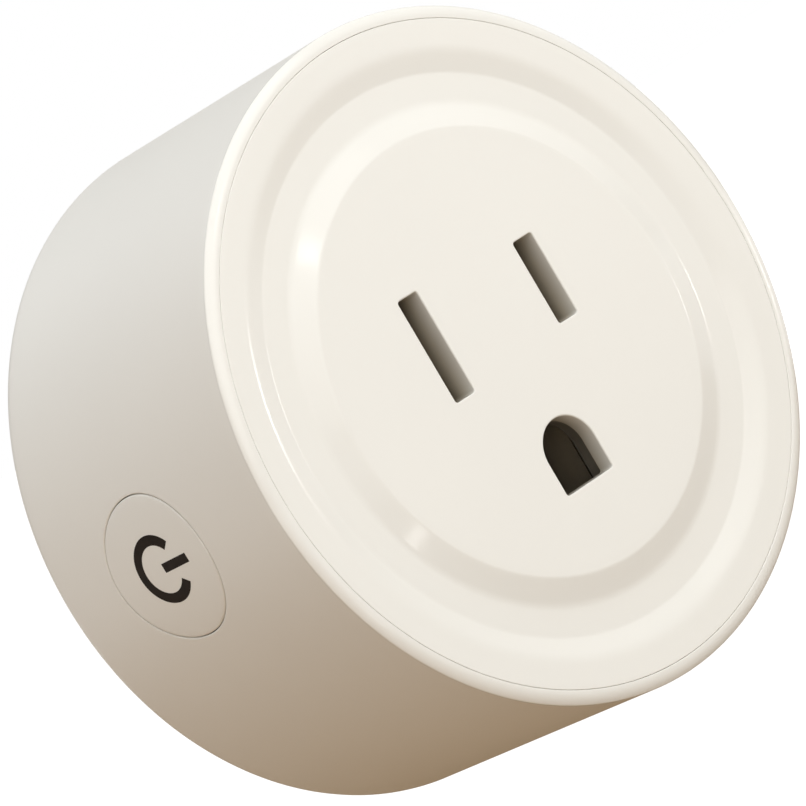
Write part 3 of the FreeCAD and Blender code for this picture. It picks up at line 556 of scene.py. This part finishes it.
def plated_metal(name, colour, roughness, stretch=(1, 0.06, 1), grain=2600):
    """Rolled or turned metal with fine lines along one direction and faint tarnish."""
    made, tree, shader = new_material(name, colour, roughness, 1.0)
    lines = noise(tree, grain, 3, 0.6, stretch)
    cloud = noise(tree, 220, 4)
    tint = ramp(tree, cloud, [
        (0.2, shade(colour, 0.72)), (0.55, colour), (0.9, shade(colour, 1.1))])
    tree.links.new(tint, shader.inputs["Base Color"])
    gloss = mapped(tree, lines, roughness * 0.7, roughness * 1.5)
    tree.links.new(gloss, shader.inputs["Roughness"])
    first = bump(tree, shader, lines, 0.16, 0.00002)
    bump(tree, shader, noise(tree, 500, 2), 0.05, 0.00006, first)
    return made


def moulded(name, colour, roughness, spread=0.12, grain=1800):
    """A moulded or dipped part: mottled colour, uneven gloss and a fine surface."""
    made, tree, shader = new_material(name, colour, roughness)
    tint = ramp(tree, noise(tree, 260, 4), [(0.25, shade(colour, 1 - spread)),
                                            (0.75, shade(colour, 1 + spread))])
    tree.links.new(tint, shader.inputs["Base Color"])
    tree.links.new(mapped(tree, noise(tree, 700, 3), roughness * 0.8, roughness * 1.25),
                   shader.inputs["Roughness"])
    bump(tree, shader, noise(tree, grain, 3), 0.12, 0.00003)
    return made


def board_material():
    """Green solder mask over glass laminate with a faint weave."""
    green = (0.012, 0.09, 0.03)
    made, tree, shader = new_material("solder_mask", green, 0.3)
    weave = add_node(tree, "ShaderNodeTexWave", wave_profile="SIN")
    weave.inputs["Scale"].default_value = 900
    weave.inputs["Distortion"].default_value = 2.0
    place = add_node(tree, "ShaderNodeTexCoord")
    tree.links.new(place.outputs["Object"], weave.inputs["Vector"])
    tint = ramp(tree, noise(tree, 420, 4), [(0.3, shade(green, 0.7)), (0.7, shade(green, 1.5))])
    tree.links.new(tint, shader.inputs["Base Color"])
    tree.links.new(mapped(tree, noise(tree, 300, 2), 0.22, 0.42), shader.inputs["Roughness"])
    bump(tree, shader, weave.outputs["Fac"], 0.12, 0.00003)
    return made


def wound_copper():
    """Enamelled wire laid turn beside turn along the main axis, with painted shade in the grooves
    between turns.
    """
    copper = (0.45, 0.13, 0.035)
    made, tree, shader = new_material("wound_copper", copper, 0.3, 1.0)
    place = add_node(tree, "ShaderNodeTexCoord")
    turns = add_node(tree, "ShaderNodeTexWave", bands_direction="Y", wave_profile="SIN")
    turns.inputs["Scale"].default_value = 1400
    turns.inputs["Distortion"].default_value = 0.4
    tree.links.new(place.outputs["Object"], turns.inputs["Vector"])
    # Painted shade: the colour darkens to about a third in the grooves between the turns.
    tint = ramp(tree, turns.outputs["Fac"], [(0.0, shade(copper, 0.35)), (0.6, copper)])
    tree.links.new(tint, shader.inputs["Base Color"])
    tree.links.new(mapped(tree, noise(tree, 500, 3), 0.24, 0.4), shader.inputs["Roughness"])
    bump(tree, shader, turns.outputs["Fac"], 0.6, 0.00008)
    return made


SATIN = satin_plastic()
GLOSS = gloss_plastic()
INK = printed_ink()
BLADE_METAL = plated_metal("nickel_plating", (0.62, 0.58, 0.50), 0.24)
CONTACT_METAL = plated_metal("contact_metal", (0.58, 0.53, 0.45), 0.38)
SLOT_MATERIALS = {
    "socket_plastic": moulded("socket_plastic", (0.19, 0.17, 0.14), 0.5),
    "blade_metal": BLADE_METAL,
    "contact_metal": CONTACT_METAL,
    "inner_plastic": moulded("inner_plastic", (0.62, 0.58, 0.50), 0.45, 0.05),
    "screw_steel": plated_metal("zinc_plating", (0.50, 0.50, 0.48), 0.3, (1, 1, 1)),
    "circuit_board": board_material(),
    "dark_plastic": moulded("black_plastic", (0.012, 0.012, 0.013), 0.45, 0.3),
    "relay_plastic": moulded("blue_plastic", (0.01, 0.04, 0.22), 0.32),
    "shield_metal": plated_metal("tinned_sheet", (0.60, 0.60, 0.57), 0.34, (0.06, 1, 1)),
    "core_iron": moulded("ferrite", (0.02, 0.02, 0.021), 0.6, 0.3),
    "copper": wound_copper(),
    "can_metal": moulded("capacitor_sleeve", (0.012, 0.016, 0.035), 0.28, 0.2),
    "film_plastic": moulded("film_capacitor_box", (0.55, 0.30, 0.02), 0.35),
    "disc_ceramic": moulded("ceramic_coating", (0.01, 0.05, 0.30), 0.35),
}


def finish_cad_nodes():
    """Each CAD node takes its record slot's material."""
    for entry in frame["record"]["subparts"]:
        material = SLOT_MATERIALS.get(entry["material_slot"])
        if material is None:
            continue
        node = frame["nodes"][entry["node"]]
        node.data.materials.clear()
        node.data.materials.append(material)


# --------------------------------------------------------------------- pieces
def slot_openings():
    """The blade slots and the ground hole of the socket face, as functions of the margin."""
    left = -BLADE_PITCH / 2
    right = BLADE_PITCH / 2
    return [
        lambda grow: slot_outline(left, SLOT_HEIGHT, SLOT_WIDTH, NEUTRAL_SLOT, SLOT_CORNER, grow),
        lambda grow: slot_outline(right, SLOT_HEIGHT, SLOT_WIDTH, LINE_SLOT, SLOT_CORNER, grow),
        lambda grow: arch_outline(0, GROUND_HEIGHT, GROUND_HOLE_WIDTH, GROUND_HOLE_HEIGHT,
                                  SLOT_CORNER, grow),
    ]


def make_socket_face():
    """The front cover: bent profile, flat centre with its three openings, skirt behind."""
    shape = Shape()
    under_trough = FRONT_Y + TROUGH_DEPTH + COVER_WALL
    under_disc = FRONT_Y + COVER_WALL
    profile = rounded_path([
        (FLAT_RADIUS, FRONT_Y, 0),
        (DISC_RADIUS, FRONT_Y, CRISP_BEND),
        (TROUGH_INNER, FRONT_Y + TROUGH_DEPTH, SLOPE_BEND),
        (TROUGH_OUTER, FRONT_Y + TROUGH_DEPTH, CRISP_BEND),
        (RING_INNER, FRONT_Y + RING_DROP, SOFT_BEND),
        (COVER_RADIUS, FRONT_Y, SEAM_EDGE),
        (COVER_RADIUS, FRONT_Y + LEDGE_DEPTH, LEDGE_EDGE),
        (SKIRT_OUTER, FRONT_Y + LEDGE_DEPTH, 0),
        (SKIRT_OUTER, SKIRT_END, SKIRT_EDGE),
        (SKIRT_INNER, SKIRT_END, SKIRT_EDGE),
        (SKIRT_INNER, under_trough, 0),
        (TROUGH_INNER, under_trough, 0),
        (DISC_RADIUS, under_disc, 0),
        (FLAT_RADIUS, under_disc, 0),
    ])
    lathe(shape, subdivided(profile, WIDE_STEP))
    circle = [(x, z) for x, _, z in ring_points(FLAT_RADIUS, 0)]
    outlines = slot_openings()
    slots, ground_hole = outlines[:2], outlines[2]
    collars = [outline(COLLAR_WALL) for outline in slots]
    collar_end = under_disc + COLLAR_LENGTH
    flat_fill(shape, circle, [outline(HOLE_EDGE) for outline in outlines], FRONT_Y)
    flat_fill(shape, circle, collars + [ground_hole(0.0)], under_disc)
    opening(shape, ground_hole, FRONT_Y, under_disc)
    for outline, collar in zip(slots, collars):
        opening(shape, outline, FRONT_Y, collar_end)
        foot = shape.add([(x, under_disc, z) for x, z in collar])
        top = shape.add([(x, collar_end, z) for x, z in collar])
        mouth = shape.add([(x, collar_end, z) for x, z in outline(0.0)])
        shape.bridge(foot, top)
        shape.bridge(top, mouth)
    face = shape.piece("socket_face", GLOSS)
    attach(face, "plug_body")
    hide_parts("front_cover")


def rear_openings():
    """The two blade openings and the pin opening of the rear wall."""
    fit = 2 * PIN_FIT
    outlines = []
    for x in (-BLADE_PITCH / 2, BLADE_PITCH / 2):
        outlines.append(lambda grow, x=x: slot_outline(
            x, SLOT_HEIGHT, BLADE_THICKNESS + fit, BLADE_WIDTH + fit, BLADE_HOLE_CORNER, grow))
    outlines.append(lambda grow: circle_outline(0, GROUND_HEIGHT, PIN_RADIUS + PIN_FIT, grow))
    return outlines


def make_housing():
    """The drum: rim, side wall with the button hole, rear wall with groove and openings."""
    shape = Shape()
    groove_in = REAR_GROOVE_RADIUS - REAR_GROOVE_WIDTH / 2
    groove_out = REAR_GROOVE_RADIUS + REAR_GROOVE_WIDTH / 2
    rows = window_rows()
    front_side = rounded_path([
        (CAVITY_RADIUS, rows[0], 0),
        (CAVITY_RADIUS, FRONT_Y + LEDGE_DEPTH, 0),
        (FRONT_RADIUS - RIM_WIDTH, FRONT_Y + LEDGE_DEPTH, 0),
        (FRONT_RADIUS - RIM_WIDTH, FRONT_Y, SEAM_EDGE),
        (FRONT_RADIUS - RIM_BEVEL_WIDTH, FRONT_Y, RIM_BEND),
        (FRONT_RADIUS, FRONT_Y + RIM_BEVEL_DROP, FRONT_EDGE),
        (wall_radius(rows[0]), rows[0], 0),
    ])
    front_side = subdivided(front_side, FINE_STEP)[1:-1]
    rear_side = rounded_path([
        (wall_radius(rows[-1]), rows[-1], 0),
        (REAR_RADIUS, REAR_Y, REAR_EDGE),
        (groove_out, REAR_Y, GROOVE_LIP),
        (groove_out, REAR_Y - REAR_GROOVE_DEPTH, GROOVE_FLOOR),
        (groove_in, REAR_Y - REAR_GROOVE_DEPTH, GROOVE_FLOOR),
        (groove_in, REAR_Y, GROOVE_LIP),
        (FLAT_RADIUS, REAR_Y, 0),
    ])
    rear_side = subdivided(rear_side, FINE_STEP)[1:]
    split = front_side.index(min(front_side, key=lambda point: math.dist(
        point, (FRONT_RADIUS - RIM_WIDTH + SEAM_EDGE, FRONT_Y))))
    outer_front = front_side[split:]
    inner_front = front_side[:split + 1]
    hole = BUTTON_RADIUS + BUTTON_GAP
    rim, angles = wall_with_hole(shape, outer_front, rear_side, wall_radius,
                                 hole + BUTTON_EDGE)
    inner_after = subdivided([(CAVITY_RADIUS, rows[-1]), (CAVITY_RADIUS, REAR_Y - REAR_WALL),
                              (FLAT_RADIUS, REAR_Y - REAR_WALL)], WIDE_STEP)[1:]
    inner_rim, _ = wall_with_hole(
        shape, inner_front[::-1], inner_after, lambda y: CAVITY_RADIUS, hole)
    previous = rim
    for k in range(1, EDGE_STEPS + 1):
        turn = math.pi / 2 * k / EDGE_STEPS
        radius = hole + BUTTON_EDGE * (1 - math.sin(turn))
        depth = BUTTON_EDGE * (1 - math.cos(turn))
        row = shape.add([on_wall(z, y, wall_radius(y) - depth)
                         for y, z in button_circle(radius, angles)])
        shape.bridge(previous, row)
        previous = row
    inner_points = [shape.points[i] for i in inner_rim]
    row = shape.add([on_wall(z, y, CAVITY_RADIUS) for y, z in button_circle(hole, angles)])
    shape.bridge(previous, row)
    fill = shape.add(inner_points)
    shape.bridge(row, fill)
    circle = [(x, z) for x, _, z in ring_points(FLAT_RADIUS, 0)]
    outlines = rear_openings()
    flat_fill(shape, circle, [outline(HOLE_EDGE) for outline in outlines], REAR_Y)
    flat_fill(shape, circle, [outline(0.0) for outline in outlines], REAR_Y - REAR_WALL)
    for outline in outlines:
        opening(shape, outline, REAR_Y, REAR_Y - REAR_WALL)
    drum = shape.piece("drum_housing", SATIN)
    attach(drum, "plug_body")
    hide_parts("housing")


def make_button():
    """The button cap: curved skin flush with the drum, rounded edge, flange and boss."""
    shape = Shape()
    angles = [2 * math.pi * k / BUTTON_SEGMENTS for k in range(BUTTON_SEGMENTS)]

    def skin_row(radius, depth=0.0):
        return shape.add([on_wall(z, y, wall_radius(y) - depth)
                          for y, z in button_circle(radius, angles)])

    def inner_row(radius, wall):
        return shape.add([on_wall(z, y, wall) for y, z in button_circle(radius, angles)])

    inner = BUTTON_RADIUS - BUTTON_EDGE
    rows = [skin_row(inner * k / BUTTON_RINGS) for k in range(1, BUTTON_RINGS + 1)]
    centre = shape.add([on_wall(BUTTON_Z, BUTTON_Y, wall_radius(BUTTON_Y))])[0]
    shape.fan(centre, rows[0])
    for k in range(1, EDGE_STEPS + 1):
        turn = math.pi / 2 * k / EDGE_STEPS
        rows.append(skin_row(inner + BUTTON_EDGE * math.sin(turn),
                             BUTTON_EDGE * (1 - math.cos(turn))))
    rows.append(inner_row(BUTTON_RADIUS, BUTTON_FLANGE_OUTER))
    rows.append(inner_row(BUTTON_FLANGE_RADIUS, BUTTON_FLANGE_OUTER))
    rows.append(inner_row(BUTTON_FLANGE_RADIUS, BUTTON_FLANGE_INNER))
    rows.append(inner_row(BUTTON_BOSS_RADIUS, BUTTON_FLANGE_INNER))
    boss = [(BUTTON_HIGH.x, y, z) for y, z in button_circle(BUTTON_BOSS_RADIUS, angles)]
    rows.append(shape.add(boss))
    for a, b in zip(rows, rows[1:]):
        shape.bridge(a, b)
    end = shape.add([(BUTTON_HIGH.x, BUTTON_Y, BUTTON_Z)])[0]
    shape.fan(end, rows[-1])
    cap = shape.piece("push_button", SATIN)
    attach(cap, "button")
    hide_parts("button_cap")


def printed_patch(shape, rows):
    """A thin printed layer on the button's skin from rows of (y, z) points."""
    lifted = [shape.add([on_wall(z, y, wall_radius(y) + SYMBOL_THICKNESS) for y, z in row])
              for row in rows]
    sunk = [shape.add([on_wall(z, y, wall_radius(y) - SYMBOL_THICKNESS) for y, z in row])
            for row in rows]
    for layer in (lifted, sunk):
        for a, b in zip(layer, layer[1:]):
            shape.bridge(a, b, closed=False)
    for end in (0, -1):
        shape.bridge(lifted[end], sunk[end], closed=False)
        shape.bridge([row[end] for row in lifted], [row[end] for row in sunk], closed=False)


def make_symbol():
    """The generic power mark: an open ring and a bar, printed on the button."""
    shape = Shape()
    gap = math.radians(SYMBOL_GAP_ANGLE)
    front = math.pi
    turns = [front + gap + (2 * math.pi - 2 * gap) * k / SYMBOL_STEPS
             for k in range(SYMBOL_STEPS + 1)]
    radii = [SYMBOL_RING_RADIUS + SYMBOL_STROKE * share for share in STROKE_SHARES]
    rows = [button_circle(radius, turns) for radius in radii]
    printed_patch(shape, rows)
    lengths = [SYMBOL_BAR_FROM + (SYMBOL_BAR_TO - SYMBOL_BAR_FROM) * k / BAR_STEPS
               for k in range(BAR_STEPS + 1)]
    rows = []
    for share in STROKE_SHARES:
        rows.append([(BUTTON_Y - length, BUTTON_Z + SYMBOL_BAR_WIDTH * share)
                     for length in lengths])
    printed_patch(shape, rows)
    mark = shape.piece("power_mark", INK)
    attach(mark, "button")


def bevelled(shape_object, width, segments=3, angle=30.0):
    """A bevel on the sharp edges of a piece."""
    made = shape_object.modifiers.new("edge", "BEVEL")
    made.width = width * MM
    made.segments = segments
    made.limit_method = "ANGLE"
    made.angle_limit = math.radians(angle)
    made.harden_normals = True


def finish_cad_edges():
    """Small bevels on the blades, the CAD nodes that can be seen."""
    for name in ("line_blade", "neutral_blade"):
        bevelled(frame["nodes"][name], BLADE_EDGE)


def make_ground_pin():
    """The ground pin: domed tip, smooth shank, head and stub inside."""
    shape = Shape()
    tip_y = PIN_HIGH.y
    path = rounded_path([
        (0.0, tip_y, 0),
        (PIN_RADIUS, tip_y, PIN_DOME),
        (PIN_RADIUS, REAR_Y + PIN_NECK_LENGTH, PIN_NECK_EDGE),
        (PIN_NECK_RADIUS, REAR_Y + PIN_NECK_LENGTH, 0),
        (PIN_NECK_RADIUS, REAR_Y - REAR_WALL, 0),
        (PIN_HEAD_RADIUS, REAR_Y - REAR_WALL, PIN_HEAD_EDGE),
        (PIN_HEAD_RADIUS, REAR_Y - REAR_WALL - PIN_HEAD_THICKNESS, PIN_HEAD_EDGE),
        (PIN_STUB_RADIUS, REAR_Y - REAR_WALL - PIN_HEAD_THICKNESS, 0),
        (PIN_STUB_RADIUS, PIN_LOW.y, PIN_STUB_EDGE),
        (0.0, PIN_LOW.y, 0),
    ], steps=PIN_ARC_STEPS)
    path = [(max(radius, AXIS_RADIUS), y) for radius, y in subdivided(path, PIN_STEP)]
    lathe(shape, path, PIN_SEGMENTS, GROUND_HEIGHT)
    pin = shape.piece("ground_prong", BLADE_METAL)
    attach(pin, "plug_body")
    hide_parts("ground_pin")


finish_cad_nodes()
finish_cad_edges()
make_socket_face()
make_housing()
make_button()
make_symbol()
make_ground_pin()


# ---------------------------------------------------------------------- stage
FLOOR_DROP = 0.45
FLOOR_SIZE = 30.0
FLOOR_GLOW = 0.8
FLOOR_CELLS = 8
CARD_DROP = 24
CARD_X = (-260, 200)
CARD_Y = (-300, 200)
SKY_STRENGTH = 0.62


def make_floor():
    """A wide pale floor below the object."""
    shape = Shape()
    half = FLOOR_SIZE / MM / 2
    low = CAD_BOX[0].z / MM - FLOOR_DROP / MM
    rows = []
    spots = [-half + 2 * half * k / FLOOR_CELLS for k in range(FLOOR_CELLS + 1)]
    for y in spots:
        rows.append(shape.add([(x, y, low) for x in spots]))
    for a, b in zip(rows, rows[1:]):
        shape.bridge(a, b, closed=False)
    material, tree, shader = new_material("studio_floor", (0.86, 0.86, 0.86), 0.8)
    tint = ramp(tree, noise(tree, 4, 3), [(0.3, (0.85, 0.85, 0.85)), (0.7, (0.87, 0.87, 0.87))])
    tree.links.new(tint, shader.inputs["Base Color"])
    tree.links.new(tint, shader.inputs["Emission Color"])
    shader.inputs["Emission Strength"].default_value = FLOOR_GLOW
    floor = shape.piece("floor", material)


def make_bounce_card():
    """A warm grey card under the object that keeps the pale floor's light off its lower side."""
    shape = Shape()
    low = CAD_BOX[0].z / MM - CARD_DROP
    rows = [shape.add([(x, y, low) for x in CARD_X]) for y in CARD_Y]
    shape.bridge(rows[0], rows[1], closed=False)
    material, tree, shader = new_material("warm_card", (0.25, 0.17, 0.095), 0.9)
    tint = ramp(tree, noise(tree, 8, 2), [(0.3, (0.235, 0.16, 0.09)), (0.7, (0.265, 0.18, 0.10))])
    tree.links.new(tint, shader.inputs["Base Color"])
    card = shape.piece("bounce_card", material)
    card.visible_camera = False
    card.visible_shadow = False


def make_world():
    """A white backdrop for the camera and a soft sky for the light."""
    world = bpy.data.worlds.new("studio")
    bpy.context.scene.world = world
    world.use_nodes = True
    tree = world.node_tree
    tree.nodes.clear()
    out = tree.nodes.new("ShaderNodeOutputWorld")
    mix = tree.nodes.new("ShaderNodeMixShader")
    seen = tree.nodes.new("ShaderNodeBackground")
    light = tree.nodes.new("ShaderNodeBackground")
    path = tree.nodes.new("ShaderNodeLightPath")
    place = tree.nodes.new("ShaderNodeTexCoord")
    split = tree.nodes.new("ShaderNodeSeparateXYZ")
    tree.links.new(place.outputs["Generated"], split.inputs["Vector"])
    sky = ramp(tree, mapped(tree, split.outputs["Z"], 0.0, 1.0, -1.0, 1.0), [
        (0.0, (0.12, 0.08, 0.05)),
        (0.45, (0.30, 0.25, 0.20)),
        (0.62, (0.75, 0.73, 0.70)),
        (1.0, (0.95, 0.94, 0.92)),
    ])
    tree.links.new(sky, light.inputs["Color"])
    light.inputs["Strength"].default_value = SKY_STRENGTH
    seen.inputs["Color"].default_value = (1, 1, 1, 1)
    seen.inputs["Strength"].default_value = 1.0
    tree.links.new(path.outputs["Is Camera Ray"], mix.inputs["Fac"])
    tree.links.new(light.outputs["Background"], mix.inputs[1])
    tree.links.new(seen.outputs["Background"], mix.inputs[2])
    tree.links.new(mix.outputs["Shader"], out.inputs["Surface"])


def make_light(name, azimuth, elevation, distance, size, power, colour=(1, 1, 1)):
    """A square area light aimed at the object from a direction in degrees."""
    centre = (CAD_BOX[0] + CAD_BOX[1]) / 2
    a, e = math.radians(azimuth), math.radians(elevation)
    back = Vector((math.sin(a) * math.cos(e), -math.cos(a) * math.cos(e), math.sin(e)))
    data = bpy.data.lights.new(name, "AREA")
    data.size = size
    data.energy = power
    data.color = colour
    lamp = bpy.data.objects.new(name, data)
    lamp.location = centre + back * distance
    lamp.visible_camera = False
    lamp.rotation_mode = "QUATERNION"
    lamp.rotation_quaternion = (-back).to_track_quat("-Z", "Y")
    bpy.context.scene.collection.objects.link(lamp)


make_floor()
make_bounce_card()
make_world()
make_light("key", 5, 32, 1.0, 1.2, 8.6, (1.0, 1.0, 0.97))
make_light("sky_behind", -166, 60, 1.0, 0.8, 1.65)
make_light("table_glow", -90, -38, 0.6, 0.3, 0.60, (1.0, 0.725, 0.474))
make_light("glint_upper", 17.6, 22.7, 0.9, 0.05, 0.14)
make_light("glint_lower", -0.85, -17.0, 0.134, 0.004, 0.0014)
make_light("glint_right", 55, -5, 0.9, 0.04, 0.22)

# --------------------------------------------------------------------- camera
CAMERA_AIM = Vector((-6.9, -22.6, 0.76)) * MM
CAMERA_AZIMUTH = -40.107
CAMERA_ELEVATION = 2.688
CAMERA_ROLL = -30.54
CAMERA_DISTANCE = 493.4 * MM
CAMERA_LENS = 297.13


def make_camera():
    """The camera at the picture's viewing angle, tilted about its own axis."""
    a, e = math.radians(CAMERA_AZIMUTH), math.radians(CAMERA_ELEVATION)
    back = Vector((math.sin(a) * math.cos(e), -math.cos(a) * math.cos(e), math.sin(e)))
    data = bpy.data.cameras.new("camera")
    data.lens = CAMERA_LENS
    data.sensor_width = 36.0
    data.clip_start = 0.01
    data.clip_end = 100.0
    camera = bpy.data.objects.new("camera", data)
    camera.location = CAMERA_AIM + back * CAMERA_DISTANCE
    camera.rotation_mode = "QUATERNION"
    level = (-back).to_track_quat("-Z", "Y")
    roll = Matrix.Rotation(math.radians(CAMERA_ROLL), 4, "Z").to_quaternion()
    camera.rotation_quaternion = level @ roll
    bpy.context.scene.collection.objects.link(camera)
    bpy.context.scene.camera = camera


make_camera()
bpy.context.scene.view_settings.view_transform = "Standard"
